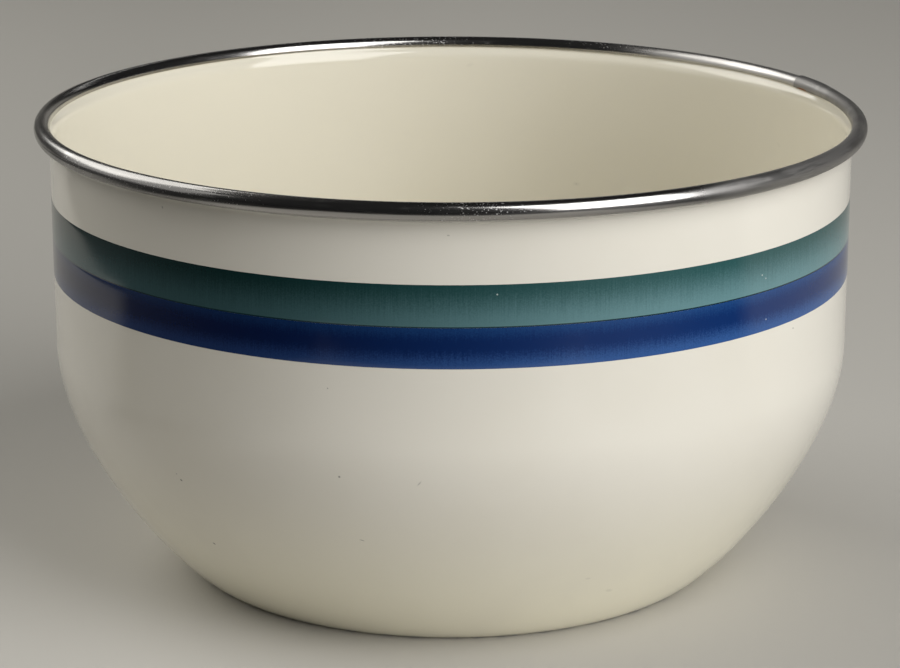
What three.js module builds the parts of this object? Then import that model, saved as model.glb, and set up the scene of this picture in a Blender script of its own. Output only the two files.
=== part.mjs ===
// Enamelled steel mixing bowl: a pressed steel body with a glass coat inside and out,
// two colour stripes fired onto its wall, and a stainless band rolled over its lip.
// Millimetres, +Z up, origin on the table under the middle of the base.
import * as THREE from 'three';

// Overall size
const rimDiameter = 240.6; // across the outside of the rim band
const bowlHeight = 134.2; // table to the top of the rim band

// Body outline, on the finished outside
const rimOverhang = 4.3; // how far the rim band stands out past the upright wall
const baseDiameter = 152.4; // flat that stands on the table
const kneeHeight = 64; // table to where the upright wall starts to turn in
const kneePull = 21.8; // handle of the flank's curve, down from the knee
const basePull = 6.6; // handle of the flank's curve, out from the base
const flareHeight = 3.4; // stretch in which the wall leans out to the lip
const lipHeight = 0.8; // upright edge that the rim band grips

// Layers through the wall, from the outside in
const coatThickness = 0.3;
const sheetThickness = 0.8;
const liningThickness = 0.3;
const bondGap = 0.01; // hairline between one fired layer and the next

// Colour stripes
const stripeDrop = 22.2; // top of the rim band down to the top of the green stripe
const greenWidth = 11.5;
const blueWidth = 10.95;
const printThickness = 0.05;

// Rim band: an oval channel, open underneath, whose ends lap at the seam
const bandWidth = 4.6;
const bandHeight = 5.1;
const bandThickness = 0.3;
const innerLeaf = 2.8; // top of the band down to its inner edge
const curlShare = 0.6; // where the band's lower edge ends, on the way from the wall out to the lip
const bandFit = 0.1; // clearance of the band on the lip and of one lapped end on the other
const seamAngle = 24.5; // degrees from +X towards +Y
const lapLength = 7; // length of band lying over its other end
const joggleLength = 24; // length in which the band steps up on to the lap

// Facets
const facets = 60;
const flankSteps = 8;
const flareSteps = 3;
const bandQuarterSteps = 4;

const rimRadius = rimDiameter / 2;
const wallRadius = rimRadius - rimOverhang;
const baseRadius = baseDiameter / 2;
const steelDepth = coatThickness + bondGap;
const liningDepth = steelDepth + sheetThickness + bondGap;
const innerDepth = liningDepth + liningThickness;

// The channel's oval, and the clear oval inside it
const bandRadius = rimRadius - bandWidth / 2;
const bandCentre = bowlHeight - bandHeight / 2;
const clearWidth = bandWidth / 2 - bandThickness;
const clearHeight = bandHeight / 2 - bandThickness;
const leafAngle = Math.PI - Math.asin((bandHeight / 2 - innerLeaf) / (bandHeight / 2));

// The lip lies against the inner leaf and reaches up to where the channel closes over it
const lipInset = clearWidth * -Math.cos(leafAngle) - bandFit;
const lipTop = bandCentre + clearHeight * Math.sqrt(1 - (lipInset / clearWidth) ** 2) - bandFit;
const lipRadius = bandRadius - lipInset + innerDepth;
const flareTop = lipTop - lipHeight;
const flareStart = flareTop - flareHeight;
const curlRadius = THREE.MathUtils.lerp(wallRadius, lipRadius, curlShare) + bandFit;
const curlAngle = -Math.acos((curlRadius - bandRadius) / (bandWidth / 2 - bandThickness / 2));

// Outline of the finished outside from the axis to the lip: points with their outward normals
function bodyOutline() {
  const at = (r, z) => new THREE.Vector2(r, z);
  const flank = new THREE.CubicBezierCurve(
    at(baseRadius, 0),
    at(baseRadius + basePull, 0),
    at(wallRadius, kneeHeight - kneePull),
    at(wallRadius, kneeHeight)
  );
  const flare = new THREE.CubicBezierCurve(
    at(wallRadius, flareStart),
    at(wallRadius, flareStart + flareHeight / 2),
    at(lipRadius, flareStart + flareHeight / 2),
    at(lipRadius, flareTop)
  );
  const outline = [{ point: at(0, 0), normal: at(0, -1) }];
  const follow = (curve, steps) => {
    for (let i = 0; i <= steps; i++) {
      const along = curve.getTangent(i / steps);
      outline.push({ point: curve.getPoint(i / steps), normal: at(along.y, -along.x) });
    }
  };
  follow(flank, flankSteps);
  follow(flare, flareSteps);
  outline.push({ point: at(lipRadius, lipTop), normal: at(1, 0) });
  return outline;
}

const outline = bodyOutline();

// The outline moved in from the finished outside by a depth
function layerAt(depth, points = outline) {
  return points.map(({ point, normal }) => point.clone().addScaledVector(normal, -depth));
}

// The stretch of the outline between two heights, cut on its straight pieces
function outlineBetween(low, high) {
  const cutAt = (height) => {
    const next = outline.findIndex(({ point }) => point.y > height);
    const a = outline[next - 1];
    const b = outline[next];
    const share = (height - a.point.y) / (b.point.y - a.point.y);
    return {
      point: a.point.clone().lerp(b.point, share),
      normal: a.normal.clone().lerp(b.normal, share).normalize(),
    };
  };
  const between = outline.filter(({ point }) => point.y > low && point.y < high);
  return [cutAt(low), ...between, cutAt(high)];
}

// A profile of radius and height, turned about +Z
function turned(profile) {
  return new THREE.LatheGeometry(profile, facets).rotateX(Math.PI / 2);
}

// A layer of the wall at a depth, from the axis under the base to the lip
function layer(depth, thickness) {
  return turned([...layerAt(depth), ...layerAt(depth + thickness).reverse()]);
}

// A fired colour band lying on the coat between two heights
function stripe(low, high) {
  const seat = outlineBetween(low, high);
  const ring = [...layerAt(-bondGap - printThickness, seat), ...layerAt(-bondGap, seat).reverse()];
  return turned([...ring, ring[0]]);
}

// Angles round the channel's oval: inner edge, top, outside, and under towards the wall
function bandAngles() {
  const turns = [leafAngle, Math.PI / 2, 0, curlAngle];
  const angles = [leafAngle];
  for (let quarter = 1; quarter < turns.length; quarter++) {
    for (let i = 1; i <= bandQuarterSteps; i++) {
      angles.push(THREE.MathUtils.lerp(turns[quarter - 1], turns[quarter], i / bandQuarterSteps));
    }
  }
  return angles;
}

// The channel's section, grown outwards by an amount: over the outside, then back inside
function bandSection(grown) {
  const arc = (halfWidth, halfHeight) =>
    bandAngles().map((angle) => ({
      r: bandRadius + (halfWidth + grown) * Math.cos(angle),
      z: bandCentre + (halfHeight + grown) * Math.sin(angle),
    }));
  return [...arc(bandWidth / 2, bandHeight / 2), ...arc(clearWidth, clearHeight).reverse()];
}

// Places along the band: under the lap, once round on the body's facets, up the joggle, over the lap
function bandStations() {
  const turn = 2 * Math.PI;
  const facetAngle = turn / facets;
  const finish = turn + THREE.MathUtils.degToRad(seamAngle);
  const start = finish - turn - lapLength / rimRadius;
  const joggleTop = start + turn - bandFit / rimRadius;
  const joggleFoot = joggleTop - joggleLength / rimRadius;
  const angles = [start, joggleFoot, joggleTop, finish];
  for (let k = Math.floor(start / facetAngle) + 1; k * facetAngle < finish; k++) {
    angles.push(k * facetAngle);
  }
  angles.sort((a, b) => a - b);
  return angles.map((angle) => {
    const climb = THREE.MathUtils.clamp((angle - joggleFoot) / (joggleTop - joggleFoot), 0, 1);
    return { angle, grown: climb * (bandThickness + bandFit) };
  });
}

// The section carried along the stations, each radius shortened to the body's flat facets
function rimBand() {
  const facetAngle = (2 * Math.PI) / facets;
  const stations = bandStations();
  const loop = bandSection(0).length;
  const positions = [];
  for (const { angle, grown } of stations) {
    const fromMiddle = THREE.MathUtils.euclideanModulo(angle, facetAngle) - facetAngle / 2;
    const flat = Math.cos(facetAngle / 2) / Math.cos(fromMiddle);
    for (const { r, z } of bandSection(grown)) {
      positions.push(r * flat * Math.cos(angle), r * flat * Math.sin(angle), z);
    }
  }
  const last = (stations.length - 1) * loop;
  const faces = [];
  for (let i = 0; i < stations.length - 1; i++) {
    for (let j = 0; j < loop; j++) {
      const a = i * loop + j;
      const d = i * loop + ((j + 1) % loop);
      faces.push(a, d, a + loop, a + loop, d, d + loop);
    }
  }
  for (let k = 0; k < loop / 2 - 1; k++) {
    const inside = loop - 1 - k;
    faces.push(k, inside, k + 1, k + 1, inside, inside - 1);
    faces.push(last + k, last + k + 1, last + inside, last + k + 1, last + inside - 1, last + inside);
  }
  const geometry = new THREE.BufferGeometry();
  geometry.setAttribute('position', new THREE.Float32BufferAttribute(positions, 3));
  geometry.setIndex(faces);
  geometry.computeVertexNormals();
  return geometry;
}

const bowl = new THREE.Group();
bowl.name = 'enamelled_bowl';

function addPart(name, geometry, color, roughness, metalness) {
  const mesh = new THREE.Mesh(geometry, new THREE.MeshStandardMaterial({ color, roughness, metalness }));
  mesh.name = name;
  bowl.add(mesh);
}

const greenTop = bowlHeight - stripeDrop;
const blueTop = greenTop - greenWidth;

addPart('steel_bowl', layer(steelDepth, sheetThickness), 0x6f6d6a, 0.5, 1);
addPart('enamel_lining', layer(liningDepth, liningThickness), 0xe6e2cf, 0.15, 0);
addPart('enamel_outer_coat', layer(0, coatThickness), 0xe6e2cf, 0.15, 0);
addPart('green_stripe', stripe(blueTop + bondGap, greenTop), 0x2f6a62, 0.2, 0);
addPart('blue_stripe', stripe(blueTop - blueWidth, blueTop), 0x1a3670, 0.2, 0);
addPart('rim_band', rimBand(), 0x9a9792, 0.25, 1);

export default bowl;
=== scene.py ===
import math

import bpy
import numpy as np
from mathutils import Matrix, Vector


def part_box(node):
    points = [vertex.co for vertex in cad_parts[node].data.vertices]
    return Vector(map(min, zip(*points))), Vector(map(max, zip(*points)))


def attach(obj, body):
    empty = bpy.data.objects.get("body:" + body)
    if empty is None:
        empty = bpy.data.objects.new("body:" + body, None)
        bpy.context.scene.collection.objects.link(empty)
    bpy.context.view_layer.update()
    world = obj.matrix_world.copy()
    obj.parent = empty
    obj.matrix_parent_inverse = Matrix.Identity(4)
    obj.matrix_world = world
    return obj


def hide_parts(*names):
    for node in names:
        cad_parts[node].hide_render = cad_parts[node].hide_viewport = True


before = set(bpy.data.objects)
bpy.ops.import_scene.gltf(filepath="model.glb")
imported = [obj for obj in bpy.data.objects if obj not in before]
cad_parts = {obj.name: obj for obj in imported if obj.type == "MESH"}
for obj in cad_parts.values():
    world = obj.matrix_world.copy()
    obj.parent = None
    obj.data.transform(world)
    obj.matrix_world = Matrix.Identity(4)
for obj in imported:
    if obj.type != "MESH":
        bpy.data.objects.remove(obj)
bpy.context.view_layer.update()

mm = 0.001
print("frame loaded:", ", ".join(sorted(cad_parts)))


# shader tools

class Sock:  # an output socket; sums with it add Math nodes
    def __init__(self, finish, socket):
        self.finish = finish
        self.socket = socket

    def out(self, key):  # another output of the same node
        return Sock(self.finish, self.socket.node.outputs[key])

    def __add__(self, other):
        return self.finish.sums("ADD", self, other)

    def __sub__(self, other):
        return self.finish.sums("SUBTRACT", self, other)

    def __rsub__(self, other):
        return self.finish.sums("SUBTRACT", other, self)

    def __mul__(self, other):
        return self.finish.sums("MULTIPLY", self, other)

    __radd__ = __add__
    __rmul__ = __mul__


class Finish:  # a material with its object coordinates ready
    def __init__(self, name):
        self.material = bpy.data.materials.new(name)
        self.material.use_nodes = True
        self.tree = self.material.node_tree
        self.shader = self.tree.nodes["Principled BSDF"]
        self.spot = self.node("ShaderNodeTexCoord", {}, {}).out("Object")
        self.x = self.node("ShaderNodeSeparateXYZ", {}, {"Vector": self.spot})
        self.y = self.x.out("Y")
        self.z = self.x.out("Z")
        self.radius = self.sums("SQRT", self.x * self.x + self.y * self.y, 0.0)

    def feed(self, slot, value):
        if isinstance(value, Sock):
            self.tree.links.new(value.socket, slot)
        else:
            slot.default_value = value

    def node(self, kind, settings, sockets):  # settings first, then values or links
        made = self.tree.nodes.new(kind)
        for key, value in settings.items():
            setattr(made, key, value)
        for key, value in sockets.items():
            self.feed(made.inputs[key], value)
        return Sock(self, made.outputs[0])

    def sums(self, operation, a, b):
        return self.node("ShaderNodeMath", {"operation": operation}, {0: a, 1: b})

    def most(self, a, b):
        return self.sums("MAXIMUM", a, b)

    def ramp(self, value, low, high):  # smooth step, 0 at low and 1 at high
        return self.node("ShaderNodeMapRange", {"interpolation_type": "SMOOTHSTEP"},
                         {0: value, 1: low, 2: high})

    def mix(self, share, a, b):
        ends = {0: share}
        for key, value in ((6, a), (7, b)):
            ends[key] = value if isinstance(value, Sock) else (*value, 1.0)
        return self.node("ShaderNodeMix", {"data_type": "RGBA"}, ends).out(2)

    def stretched(self, scale):
        return self.node("ShaderNodeVectorMath", {"operation": "MULTIPLY"}, {0: self.spot, 1: scale})

    def noise(self, vector, scale, detail=2.0, rough=0.5):
        return self.node("ShaderNodeTexNoise", {}, {
            "Vector": vector, "Scale": scale, "Detail": detail, "Roughness": rough})

    def alongRim(self, slow, fast, detail=2.0):  # grain that runs round the axis, without a seam
        return self.node("ShaderNodeTexNoise", {"noise_dimensions": "4D"}, {
            "Vector": self.stretched((slow, slow, fast)), "W": self.radius * fast,
            "Scale": 1.0, "Detail": detail})

    def stretches(self, turn, ends):  # strength of the stretch round the rim that an angle lies in
        inside = 0.0
        for *degrees, strength in ends:
            low, lowFull, highFull, high = (math.radians(v) for v in degrees)
            zone = self.ramp(turn, low, lowFull) * self.ramp(turn, high, highFull) * strength
            inside = self.most(zone, inside)
        return inside

    # 1 inside an oval at an angle, a radius and a height, fading over the soft share of its reach
    def blot(self, place, size, tilt, soft):
        angle, radius, height = place
        moved = self.node("ShaderNodeMapping", {"vector_type": "TEXTURE"}, {
            "Vector": self.spot,
            "Location": (radius * math.cos(angle), radius * math.sin(angle), height),
            "Rotation": (0.0, tilt, angle + math.pi / 2),
            "Scale": size})
        reach = self.node("ShaderNodeVectorMath", {"operation": "LENGTH"}, {0: moved}).out(1)
        return self.ramp(reach, 1.0, 1.0 - soft)

    def bump(self, height, distance):
        return self.node("ShaderNodeBump", {}, {"Strength": 1.0, "Distance": distance, "Height": height})

    def coat(self, sockets):
        for key, value in sockets.items():
            self.feed(self.shader.inputs[key], value)
        return self.material


# mesh tools

creaseAngle = 50  # degrees; sharper edges are not smoothed over


# quads between neighbours on a grid whose rows and columns may close round
def gridFaces(rows, cols, closeRows, closeCols):
    i = np.arange(rows if closeRows else rows - 1)[:, None]
    j = np.arange(cols if closeCols else cols - 1)[None, :]
    k = (i + 1) % rows
    n = (j + 1) % cols
    return np.stack([i * cols + j, i * cols + n, k * cols + n, k * cols + j], -1).reshape(-1, 4).tolist()


def addMesh(name, points, faces, material):
    mesh = bpy.data.meshes.new(name)
    mesh.from_pydata(points.tolist(), [], faces)
    mesh.shade_smooth()
    mesh.materials.append(material)
    made = bpy.data.objects.new(name, mesh)
    bpy.context.scene.collection.objects.link(made)
    return made


def addPiece(name, node, slot, points, faces, material):
    piece = addMesh(name, points, faces, material)
    piece.data.set_sharp_from_angle(angle=math.radians(creaseAngle))
    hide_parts(node)
    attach(piece, "root")


# x = radius cos angle, y = radius sin angle, z = height, for each profile row and each angle
def turned(profile, around):
    angle = np.linspace(0, 2 * np.pi, around, endpoint=False)
    radius = profile[:, :1]
    height = profile[:, 1:] + 0 * angle
    return np.stack([radius * np.cos(angle), radius * np.sin(angle), height], -1).reshape(-1, 3)


# a turned shell whose first and last profile points lie on the axis, closed there with triangles
def turnedShell(profile, around):
    rings = len(profile) - 2
    points = turned(profile[1:-1], around)
    ends = np.array([[0, 0, profile[0, 1]], [0, 0, profile[-1, 1]]])
    j = np.arange(around)
    n = (j + 1) % around
    top = (rings - 1) * around
    first = np.stack([0 * j + rings * around, n, j], -1)
    last = np.stack([top + j, top + n, 0 * j + rings * around + 1], -1)
    faces = gridFaces(rings, around, False, True) + first.tolist() + last.tolist()
    return np.vstack([points, ends]), faces


# body: outline of the finished outside, from the axis to the lip

bodyForm = {
    "baseRadius": 76.6 * mm,
    "kneeHeight": 68 * mm,  # where the upright wall starts to turn in
    "kneePull": 30.6 * mm,  # handles of the flank's curve
    "basePull": 4.1 * mm,
    "flareHeight": 4.2 * mm,
    "lipHeight": 0.8 * mm,
    "coat": 0.3 * mm,
    "sheet": 0.8 * mm,
    "lining": 0.3 * mm,
    "hairline": 0.01 * mm,  # between one fired layer and the next
    "print": 0.05 * mm,
    "baseSteps": 12,
    "flankSteps": 48,
    "wallSteps": 14,
    "flareSteps": 14,
    "lipSteps": 4,
    "around": 216,  # columns round the bowl
}
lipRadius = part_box("enamel_outer_coat")[1].x
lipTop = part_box("enamel_outer_coat")[1].z
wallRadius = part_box("green_stripe")[1].x - bodyForm["print"] - bodyForm["hairline"]


# evenly spaced points from a up to, but without, b
def straight(steps, a, b):
    return np.linspace(a, b, steps, endpoint=False)


# cubic curve from a to d with handles b and c
def cubic(steps, a, b, c, d):
    t = straight(steps, 0, 1)[:, None]
    a, b, c, d = (np.array(p) for p in (a, b, c, d))
    return (1 - t) ** 3 * a + 3 * (1 - t) ** 2 * t * b + 3 * (1 - t) * t ** 2 * c + t ** 3 * d


# flat base, flank curve, upright wall, flare curve, lip
def bodyOutline(form):
    base = form["baseRadius"]
    knee = form["kneeHeight"]
    flareTop = lipTop - form["lipHeight"]
    flareStart = flareTop - form["flareHeight"]
    flareMiddle = (flareTop + flareStart) / 2
    return np.vstack([
        straight(form["baseSteps"], (0, 0), (base, 0)),
        cubic(form["flankSteps"], (base, 0), (base + form["basePull"], 0),
              (wallRadius, knee - form["kneePull"]), (wallRadius, knee)),
        straight(form["wallSteps"], (wallRadius, knee), (wallRadius, flareStart)),
        cubic(form["flareSteps"], (wallRadius, flareStart), (wallRadius, flareMiddle),
              (lipRadius, flareMiddle), (lipRadius, flareTop)),
        straight(form["lipSteps"], (lipRadius, flareTop), (lipRadius, lipTop)),
        [(lipRadius, lipTop)],
    ])


outline = bodyOutline(bodyForm)
along = np.gradient(outline, axis=0)
outward = np.stack([along[:, 1], -along[:, 0]], -1) / np.linalg.norm(along, axis=1, keepdims=True)


# the outline moved in by a depth, then back down again further in, turned about the axis
def layerShell(depth, thickness):
    near = outline - outward * depth
    far = outline - outward * (depth + thickness)
    return turnedShell(np.vstack([near, far[::-1]]), bodyForm["around"])


def onWall(angle, height):  # angle in degrees and height in mm to a place on the outside
    side = outline[bodyForm["baseSteps"]:]
    return math.radians(angle), float(np.interp(height * mm, side[:, 1], side[:, 0])), height * mm


# fired glass: what the cream coats and the prints share

glassLook = {
    "ior": 1.52,
    "agedEdge": (0.45, 0.8),
    "agedShare": 0.35,
    "groupEdge": (0.52, 0.6),  # specks stand in groups
    "markSoft": 0.6,
    "waveDepth": 0.012 * mm,
}


def glazed(f, colour, rough, height, depth):
    return f.coat({"Base Color": colour, "Roughness": rough, "IOR": glassLook["ior"],
                   "Normal": f.bump(height, depth)})


# clouds of aged glass, loose specks, and the marks at their own places
def usedGlass(f, look, colour):
    cloud = f.noise(f.spot, look["cloudScale"], 3.0)
    colour = f.mix(f.ramp(cloud, *glassLook["agedEdge"]) * glassLook["agedShare"], colour, look["aged"])
    cells = f.node("ShaderNodeTexVoronoi", {}, {"Vector": f.spot, "Scale": look["speckScale"]})
    groups = f.ramp(f.noise(f.spot, look["groupScale"]), *glassLook["groupEdge"])
    specks = f.ramp(cells, *look["speckEdge"]) * groups * look["speckShare"]
    for angle, height, length, width, tilt, strength in look["marks"]:
        size = (length * mm, look["markReach"], width * mm)
        mark = f.blot(onWall(angle, height), size, math.radians(tilt), glassLook["markSoft"])
        specks = f.most(specks, mark * strength)
    return f.mix(specks, colour, look["speck"]), cloud


# cream enamel, outside

outsideLook = {
    "cream": (0.80, 0.768, 0.685),
    "aged": (0.76, 0.722, 0.62),
    "paintedBounce": (0.90, 0.86, 0.70),  # painted light: paler and warmer towards the base, standing in for light bounced up from the floor
    "paintedBounceRise": (60 * mm, 5 * mm),  # heights where that tint starts and is full
    "speck": (0.045, 0.04, 0.035),
    "rubbed": (0.20, 0.19, 0.175),
    "ringHeight": (1.2 * mm, 0.1 * mm),  # rubbed ring that stands on the table
    "ringRadius": (69 * mm, 74 * mm),
    "ringEdge": (0.45, 0.62),
    "gloss": 0.07,
    "smearRough": 0.05,
    "scuffRough": 0.12,
    "wearRough": 0.4,
    "cloudScale": 22.0,
    "speckScale": 70.0,
    "speckEdge": (0.022, 0.012),
    "groupScale": 35.0,
    "speckShare": 0.6,
    "markReach": 1.2 * mm,  # through the wall
    # angle, height, half length, half width in mm, tilt in degrees, strength
    "marks": [
        (-130.6, 49.1, 0.55, 0.35, 20, 0.8),
        (-131.2, 50.8, 0.30, 0.22, 0, 0.5),
        (-129.8, 28.3, 0.60, 0.30, 30, 0.8),
        (-104.7, 58.8, 0.40, 0.40, 0, 0.6),
        (-94.1, 58.0, 1.1, 0.12, -50, 0.7),
        (-102.6, 39.0, 0.9, 0.14, 15, 0.6),
        (-106.0, 83.1, 0.25, 0.25, 0, 0.5),
        (-90.3, 125.1, 0.5, 0.25, 0, 0.35),
        (-130.9, 125.7, 0.5, 0.3, 60, 0.4),
        (-67.6, 22.7, 1.2, 0.5, 10, 0.10),
        (-62.1, 16.1, 1.8, 0.8, 25, 0.10),
    ],
}


def creamOutside(look):
    f = Finish("creamOutside")
    # painted light: the cream turns paler towards the base, for the floor's bounce
    colour = f.mix(f.ramp(f.z, *look["paintedBounceRise"]), look["cream"], look["paintedBounce"])
    colour, cloud = usedGlass(f, look, colour)
    ring = f.ramp(f.z, *look["ringHeight"]) * f.ramp(f.radius, *look["ringRadius"])
    wear = ring * f.ramp(f.noise(f.spot, 240.0, 4.0, 0.7), *look["ringEdge"])
    colour = f.mix(wear, colour, look["rubbed"])
    smear = f.noise(f.stretched((14.0, 14.0, 40.0)), 1.0, 4.0, 0.6)
    scuffs = f.ramp(f.alongRim(60.0, 1500.0), 0.64, 0.74) * f.ramp(cloud, 0.5, 0.6)
    rough = look["gloss"] + smear * look["smearRough"]
    rough = rough + scuffs * look["scuffRough"] + wear * look["wearRough"]
    return glazed(f, colour, rough, f.noise(f.spot, 75.0, 1.0), glassLook["waveDepth"])


addPiece("outerCoat", "enamel_outer_coat", "cream_outside",
         *layerShell(0, bodyForm["coat"]), creamOutside(outsideLook))
print("outer coat made")


# sheet steel under the glass

sheetLook = {
    "dark": (0.26, 0.25, 0.24),
    "light": (0.34, 0.33, 0.32),
    "rough": 0.4,
    "grainRough": 0.2,
}


def sheetSteel(look):
    f = Finish("sheetSteel")
    grain = f.noise(f.spot, 900.0, 3.0)
    colour = f.mix(grain, look["dark"], look["light"])
    rough = look["rough"] + grain * look["grainRough"]
    return f.coat({"Base Color": colour, "Metallic": 1.0, "Roughness": rough})


steelDepth = bodyForm["coat"] + bodyForm["hairline"]
addPiece("steelCore", "steel_bowl", "sheet_steel",
         *layerShell(steelDepth, bodyForm["sheet"]), sheetSteel(sheetLook))
print("steel core made")


# cream enamel, inside

liningLook = {
    "cream": (0.80, 0.763, 0.648),
    "aged": (0.762, 0.72, 0.588),
    "speck": (0.10, 0.09, 0.075),
    "gloss": 0.06,
    "smearRough": 0.06,
    "spoonRough": 0.14,
    "cloudScale": 18.0,
    "speckScale": 60.0,
    "speckEdge": (0.020, 0.011),
    "groupScale": 30.0,
    "speckShare": 0.5,
    "markReach": 2.5 * mm,  # from the outside through to the lining
    "marks": [  # columns as for the outside
        (68.8, 87.1, 0.4, 0.3, 0, 0.5),
        (68.8, 87.1, 2.2, 1.2, 0, 0.10),
        (86.8, 125.4, 2.4, 1.1, 20, 0.06),
        (27.5, 112.0, 2.0, 1.2, -30, 0.06),
    ],
    "rust": (0.42, 0.20, 0.07),
    "rustAt": (21.6, 130.4),  # angle and height, under the rim band's seam
    "rustSize": (7 * mm, 3 * mm, 1.4 * mm),
    "rustShare": 0.35,
}


def creamInside(look):
    f = Finish("creamInside")
    colour, cloud = usedGlass(f, look, look["cream"])
    stain = f.blot(onWall(*look["rustAt"]), look["rustSize"], 0.0, 1.0)
    colour = f.mix(stain * look["rustShare"], colour, look["rust"])
    spoon = f.ramp(f.alongRim(45.0, 1300.0), 0.62, 0.72) * f.ramp(cloud, 0.48, 0.62)
    smear = f.noise(f.spot, 26.0, 4.0, 0.6)
    rough = look["gloss"] + smear * look["smearRough"] + spoon * look["spoonRough"]
    return glazed(f, colour, rough, f.noise(f.spot, 70.0, 1.0), glassLook["waveDepth"])


liningDepth = steelDepth + bodyForm["sheet"] + bodyForm["hairline"]
addPiece("innerLining", "enamel_lining", "cream_lining",
         *layerShell(liningDepth, bodyForm["lining"]), creamInside(liningLook))
print("lining made")


# colour stripes

stripeForm = {
    "rows": 41,
    "thinned": 0.8,  # share of the print lost at its edges
    "power": 10,  # how close to the edges that happens
}


# a thin ring on the wall, full in the middle and thinned towards its two edges:
# thickness = print * (1 - thinned * (share of half width) to the power)
def stripeRing(node, form):
    low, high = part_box(node)[0].z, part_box(node)[1].z
    share = np.sin(np.linspace(-np.pi / 2, np.pi / 2, form["rows"]))
    height = (low + high) / 2 + share * (high - low) / 2
    seat = wallRadius + bodyForm["hairline"]
    thickness = bodyForm["print"] * (1 - form["thinned"] * share ** form["power"])
    face = np.stack([seat + thickness, height], -1)
    back = np.stack([0 * height + seat, height], -1)
    profile = np.vstack([face, back[::-1]])
    return turned(profile, bodyForm["around"]), gridFaces(len(profile), bodyForm["around"], True, True)


printLook = {  # what both stripes share
    "shadeToLightX": (-75 * mm, 75 * mm),  # painted light and shade: the print is painted darker on the shaded left and paler on the lit right
    "grain": 0.35,
    "grainRough": 0.06,
    "grainDepth": 0.004 * mm,
    "gloss": 0.06,
    "chipReach": 1.0 * mm,
    "chipSoft": 0.5,
}
# each colour is the print painted in shade for the left, the print painted lit for the right, and the
# shares of the height where it takes over
greenLook = {
    "bottom": [(0.033, 0.082, 0.090), (0.133, 0.262, 0.282)],
    "above": [
        [(0.003, 0.022, 0.022), (0.024, 0.088, 0.089), (0.0, 1.0)],
    ],
    "hairs": 0.3,
    "line": (0.004, 0.022, 0.030),  # where the two colours overlap
    "lineHeight": (0.45 * mm, 0.2 * mm),
    "chip": (0.42, 0.50, 0.48),
    "chips": [(-84.1, 109.4, 0.28), (-44.1, 105.4, 0.32), (-43.3, 104.2, 0.28)],  # angle, height, size
}
blueLook = {
    "bottom": [(0.012, 0.034, 0.125), (0.032, 0.100, 0.300)],
    "above": [
        [(0.001, 0.007, 0.045), (0.003, 0.026, 0.130), (0.0, 0.5)],
        [(0.004, 0.022, 0.085), (0.012, 0.060, 0.205), (0.65, 1.05)],
    ],
    "hairs": 0.2,
    "chip": (0.35, 0.42, 0.50),
    "chips": [(-43.0, 92.7, 0.3)],
}


def firedPrint(name, node, look):
    f = Finish(name)
    low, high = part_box(node)[0].z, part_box(node)[1].z
    grain = f.noise(f.spot, 2600.0, 1.0)
    hairs = f.noise(f.stretched((3400.0, 3400.0, 110.0)), 1.0, 1.0)  # drawn down the wall
    share = (f.z - low) * (1 / (high - low))
    share = share + (hairs - 0.5) * look["hairs"] + (grain - 0.5) * printLook["grain"]
    # painted light and shade: from the shaded left of the bowl to its lit right
    litSide = f.ramp(f.x, *printLook["shadeToLightX"])
    colour = f.mix(litSide, *look["bottom"])
    for shadedInk, pale, shares in look["above"]:
        colour = f.mix(f.ramp(share, *shares), colour, f.mix(litSide, shadedInk, pale))
    if "line" in look:
        edge = f.ramp(f.z, *(low + height for height in look["lineHeight"]))
        colour = f.mix(edge, colour, look["line"])
    for angle, height, size in look["chips"]:
        reach = (size * mm, printLook["chipReach"], size * mm)
        chip = f.blot(onWall(angle, height), reach, 0.0, printLook["chipSoft"])
        colour = f.mix(chip, colour, look["chip"])
    rough = printLook["gloss"] + grain * printLook["grainRough"]
    return glazed(f, colour, rough, grain, printLook["grainDepth"])


addPiece("greenStripe", "green_stripe", "green_print",
         *stripeRing("green_stripe", stripeForm), firedPrint("greenPrint", "green_stripe", greenLook))
addPiece("blueStripe", "blue_stripe", "blue_print",
         *stripeRing("blue_stripe", stripeForm), firedPrint("bluePrint", "blue_stripe", blueLook))
print("stripes made")


# rim band

bandForm = {
    "width": 4.6 * mm,
    "height": 5.1 * mm,
    "thickness": 0.3 * mm,
    "leaf": 2.8 * mm,  # top of the band down to its inner edge
    "curl": 0.6,  # where the lower edge ends, on the way from the wall out to the lip
    "fit": 0.1 * mm,
    "seam": 24.5,  # degrees from +X towards +Y
    "lap": 7 * mm,
    "joggle": 24 * mm,  # length in which the band steps up on to the lap
    "endRound": 0.2 * mm,
    "endThin": 0.02,  # least squared share of the thickness, at the rounded ends
    "endStations": 6,
    "stations": 440,
    "joggleStations": 40,
    "steps": 44,  # across the strip
    "edgeSteps": 9,  # round each of its edges
}


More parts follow.
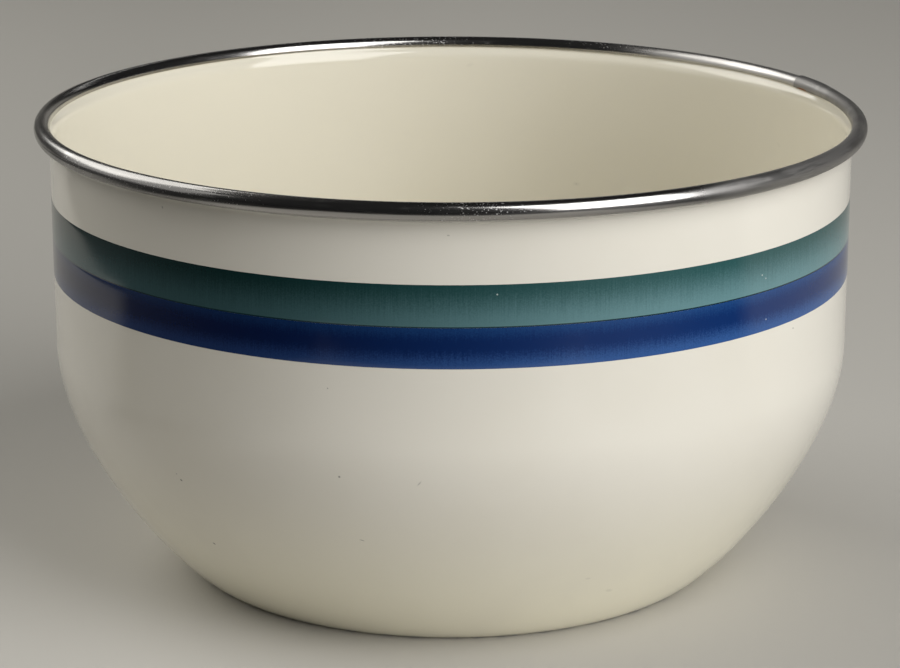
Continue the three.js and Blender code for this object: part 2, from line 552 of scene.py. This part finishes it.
# a strip of half thickness h along an oval, with rounded edges: oval point
# + h * (cos turn * normal + sin turn * along), where turn goes 0 outside, 0 to pi round the
# lower edge, pi inside, and pi to 2 pi round the inner edge; carried round the axis with lapped ends
def rimBand(form):
    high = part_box("rim_band")[1]
    step = form["thickness"] + form["fit"]
    rimRadius = high.x
    middleRadius = rimRadius - form["width"] / 2
    middleHeight = high.z - step - form["height"] / 2
    half = form["thickness"] / 2
    leafAngle = np.pi - np.arcsin((form["height"] / 2 - form["leaf"]) / (form["height"] / 2))
    curlRadius = wallRadius + form["curl"] * (lipRadius - wallRadius) + form["fit"]
    curlAngle = -np.arccos((curlRadius - middleRadius) / (form["width"] / 2 - half))
    over = np.linspace(leafAngle, curlAngle, form["steps"])
    edge = np.linspace(0, np.pi, form["edgeSteps"])[1:-1]
    oval = np.concatenate([over, 0 * edge + curlAngle, over[::-1], 0 * edge + leafAngle])
    turn = np.concatenate([0 * over, edge, 0 * over + np.pi, np.pi + edge])

    # stations from the end under the lap, once round, up the joggle and over the lap
    onceRound = 2 * np.pi
    finish = onceRound + math.radians(form["seam"])
    start = finish - onceRound - form["lap"] / rimRadius
    joggleTop = start + onceRound - form["fit"] / rimRadius
    joggleFoot = joggleTop - form["joggle"] / rimRadius
    ends = form["endRound"] / rimRadius * np.linspace(0, 1, form["endStations"])
    angle = np.concatenate([
        start + ends,
        np.linspace(start + ends[-1], joggleFoot, form["stations"])[1:-1],
        np.linspace(joggleFoot, finish - ends[-1], form["joggleStations"])[:-1],
        (finish - ends)[::-1],
    ])
    climb = np.clip((angle - joggleFoot) / (joggleTop - joggleFoot), 0, 1)
    grown = (climb * climb * (3 - 2 * climb) * step)[:, None]
    toEnd = np.minimum(np.minimum(angle - start, finish - angle) * rimRadius / form["endRound"], 1)
    h = (half * np.sqrt(np.maximum(1 - (1 - toEnd) ** 2, form["endThin"])))[:, None]

    a = form["width"] / 2 - half + grown
    b = form["height"] / 2 - half + grown
    alongR, alongZ = a * np.sin(oval), -b * np.cos(oval)
    size = np.hypot(alongR, alongZ)
    alongR, alongZ = alongR / size, alongZ / size
    normalR, normalZ = -alongZ, alongR
    radius = middleRadius + a * np.cos(oval) + h * (np.cos(turn) * normalR + np.sin(turn) * alongR)
    height = middleHeight + b * np.sin(oval) + h * (np.cos(turn) * normalZ + np.sin(turn) * alongZ)
    angle = angle[:, None]
    points = np.stack([radius * np.cos(angle), radius * np.sin(angle), height], -1).reshape(-1, 3)
    cols = len(oval)
    first = np.arange(cols)
    last = (len(angle) - 1) * cols + first
    return points, gridFaces(len(angle), cols, False, True) + [first[::-1].tolist(), last.tolist()]


bandLook = {
    "steel": (0.41, 0.40, 0.39),
    "dull": (0.345, 0.335, 0.325),
    # rough pits, painted paler than the steel so that they read as glints: partly painted highlight
    "pitGlint": (0.60, 0.59, 0.58),
    # tarnish on scuffed stretches, deepened to dim the lamps' reflections there: partly painted shade
    "tarnishShade": (0.215, 0.21, 0.205),
    "rust": (0.23, 0.085, 0.025),
    "polish": 0.14,
    "brushRough": 0.08,
    "wornRough": 0.14,
    "rubbedRough": 0.2,
    "pitRough": 0.4,
    "rustRough": 0.4,
    "depth": 0.02 * mm,
    # stretches: starts, full from, full to, ends, all in degrees, then strength
    "rubbed": [(-62, -48, 24.3, 24.7, 1.0), (24.3, 24.7, 50, 68, 0.5), (-172, -160, -134, -122, 0.25)],
    "speckled": [(-100, -88, -84, -76, 0.9), (58, 64, 70, 74, 0.7), (80, 92, 102, 112, 0.9),
                 (-165, -150, -120, -108, 0.6)],
    "tarnishedShaded": [(-179, -170, -128, -116, 0.9), (-25, -5, 24.3, 24.7, 0.9)],
    # spots: angle in degrees, radius and height in mm, half sizes in mm, tilt in radians, softness
    "bareEnd": [(23.5, 117.4, 133.6), (1.6, 1.4, 1.2), 0.3, 0.9],  # bare end of the lap
    "rustSpot": [(21.9, 115.7, 131.2), (5.2, 1.1, 0.8), 0.0, 0.7],
}


def bandSpot(f, place, size, tilt, soft):
    angle, radius, height = place
    return f.blot((math.radians(angle), radius * mm, height * mm), tuple(v * mm for v in size), tilt, soft)


def stainless(look):
    f = Finish("stainless")
    turn = f.sums("ARCTAN2", f.y, f.x)
    rubbed, speckled, tarnishedShaded = (f.stretches(turn, look[k]) for k in ("rubbed", "speckled", "tarnishedShaded"))
    rubbed = rubbed * (1 - bandSpot(f, *look["bareEnd"]))
    brush = f.alongRim(25.0, 3200.0)
    scuff = f.alongRim(110.0, 1400.0, 3.0)
    patch = f.noise(f.spot, 55.0, 3.0, 0.6)
    streaks = f.ramp(scuff, 0.52, 0.68) * f.ramp(patch, 0.42, 0.6)
    worn = f.most(streaks * 0.7, rubbed * f.ramp(scuff + patch, 0.8, 1.15))
    glintPits = f.ramp(f.alongRim(1500.0, 2600.0) + speckled * 0.12, 0.72, 0.78) * speckled
    ragged = (f.noise(f.spot, 1500.0, 3.0) - 0.5) * 0.5
    rust = f.ramp(bandSpot(f, *look["rustSpot"]) + ragged, 0.2, 0.5)
    colour = f.mix(worn * 0.6 + rubbed * 0.3, look["steel"], look["dull"])
    # darker tarnish on scuffed stretches: partly painted shade over the lamps' reflections
    colour = f.mix(tarnishedShaded * f.ramp(patch, 0.25, 0.5), colour, look["tarnishShade"])
    # paler pits: partly painted glints
    colour = f.mix(glintPits, colour, look["pitGlint"])
    colour = f.mix(rust, colour, look["rust"])
    rough = look["polish"] + brush * look["brushRough"] + worn * look["wornRough"]
    rough = rough + rubbed * look["rubbedRough"] + glintPits * look["pitRough"] + rust * look["rustRough"]
    relief = brush * 0.35 + scuff * 0.5 + patch * 0.8
    return f.coat({"Base Color": colour, "Metallic": 1 - rust, "Roughness": rough,
                   "Normal": f.bump(relief, look["depth"])})


addPiece("rimBand", "rim_band", "stainless", *rimBand(bandForm), stainless(bandLook))
print("rim band made")


# studio

floorForm = {
    "width": 6.0,
    "front": -2.2,
    "back": 2.6,
    "bend": 1.7,  # where the floor starts to sweep up
    "sweep": 0.9,
    "cells": (30, 60),
    "colour": (0.505, 0.489, 0.452),
    "toneDark": 0.985,
    "rough": 0.7,
    # painted shade: the floor darker towards the back left: from and to in x, from and to in y, strength
    "paintedShadeX": (0.05, -0.2),
    "paintedShadeY": (-0.1, 0.2),
    "paintedShade": 0.2,
    # hot spot by the key lamp, taken down for the camera: from and to in x - y, strength
    "hotSpot": (0.6, 1.5),
    "hotShare": 0.65,
    # beyond the paper, dark for all but camera rays: left side, front corners, front
    "far": (0.01, 0.01, 0.01),
    "leftX": (-0.435, -0.465),
    "leftY": (0.7, 0.5),
    "cornerX": (0.16, 0.25),
    "cornerY": (0.01, -0.06),
    "cornerSlant": 0.12,
    "frontY": (-0.32, -0.40),
}


def floorPaint(form):
    f = Finish("floorPaint")
    seen = f.node("ShaderNodeLightPath", {}, {})  # 1 for camera rays
    tone = f.noise(f.spot, 3.0, 3.0)
    pale = f.mix(tone, tuple(form["toneDark"] * c for c in form["colour"]), form["colour"])
    # painted shade on the floor towards the back left
    paintedShade = f.ramp(f.x, *form["paintedShadeX"]) * f.ramp(f.y, *form["paintedShadeY"]) * form["paintedShade"]
    shade = f.most(paintedShade, f.ramp(f.x - f.y, *form["hotSpot"]) * seen * form["hotShare"])
    pale = f.mix(shade, pale, (0.0, 0.0, 0.0))
    left = f.ramp(f.x, *form["leftX"]) * f.ramp(f.y, *form["leftY"])
    sideways = f.ramp(f.sums("ABSOLUTE", f.x, 0.0), *form["cornerX"])
    corners = sideways * f.ramp(f.y + f.x * form["cornerSlant"], *form["cornerY"])
    away = f.most(f.most(left, corners), f.ramp(f.y, *form["frontY"])) * (1 - seen)
    return f.coat({"Base Color": f.mix(away, pale, form["far"]), "Roughness": form["rough"]})


# flat floor, then a sweep up: height = sweep * (distance past the bend) squared
def addFloor(form):
    across, deep = form["cells"]
    x, y = np.meshgrid(np.linspace(-0.5, 0.5, across + 1) * form["width"],
                       np.linspace(form["front"], form["back"], deep + 1))
    z = form["sweep"] * np.maximum(y - form["bend"], 0) ** 2
    points = np.stack([x, y, z], -1).reshape(-1, 3)
    floor = addMesh("floor", points, gridFaces(deep + 1, across + 1, False, False), floorPaint(form))


addFloor(floorForm)

bowlMiddle = (0, 0, 0.07)
lamps = {
    "keyBox": {"at": (0.9, -0.87, 0.82), "aim": bowlMiddle, "size": (1.05, 1.7),
               "power": 26.0, "colour": (1.0, 0.995, 0.985)},
    "backBox": {"at": (-0.97, 0.61, 0.96), "aim": bowlMiddle, "size": (1.25, 0.9),
                "power": 11.4, "colour": (1.0, 0.985, 0.94)},
    "leftBox": {"at": (-1.36, 0.14, 0.61), "aim": bowlMiddle, "size": (1.4, 1.0),
                "power": 3.5, "colour": (1.0, 0.985, 0.95)},
    "sweepBox": {"at": (0.5, 2.0, 1.2), "aim": (0.4, 2.4, 0.2), "size": (2.4, 0.4),
                 "power": 5.0, "colour": (1.0, 0.99, 0.97)},
}
for name, lamp in lamps.items():
    data = bpy.data.lights.new(name, "AREA")
    data.shape = "RECTANGLE"
    data.size, data.size_y = lamp["size"]
    data.energy = lamp["power"]
    data.color = lamp["colour"]
    obj = bpy.data.objects.new(name, data)
    obj.location = lamp["at"]
    obj.rotation_euler = (Vector(lamp["aim"]) - obj.location).to_track_quat("-Z", "Y").to_euler()
    bpy.context.scene.collection.objects.link(obj)

roomGlow = (0.02, 0.02, 0.02, 1.0)
world = bpy.data.worlds.new("studio")
world.use_nodes = True
world.node_tree.nodes["Background"].inputs["Color"].default_value = roomGlow
bpy.context.scene.world = world
print("studio made")

cameraSet = {
    "side": -0.18 * mm,
    "back": 855.9 * mm,
    "height": 309.4 * mm,
    "tilt": 15.87,  # degrees down
    "lens": 119.84,
    "sensor": 36.0,
    "near": 0.05,
}
camera = bpy.data.objects.new("camera", bpy.data.cameras.new("camera"))
camera.data.sensor_width = cameraSet["sensor"]
camera.data.lens = cameraSet["lens"]
camera.data.clip_start = cameraSet["near"]
camera.location = (cameraSet["side"], -cameraSet["back"], cameraSet["height"])
camera.rotation_euler = (math.radians(90 - cameraSet["tilt"]), 0, 0)
bpy.context.scene.collection.objects.link(camera)
bpy.context.scene.camera = camera
bpy.context.scene.view_settings.view_transform = "Standard"

print("camera and sizes done")
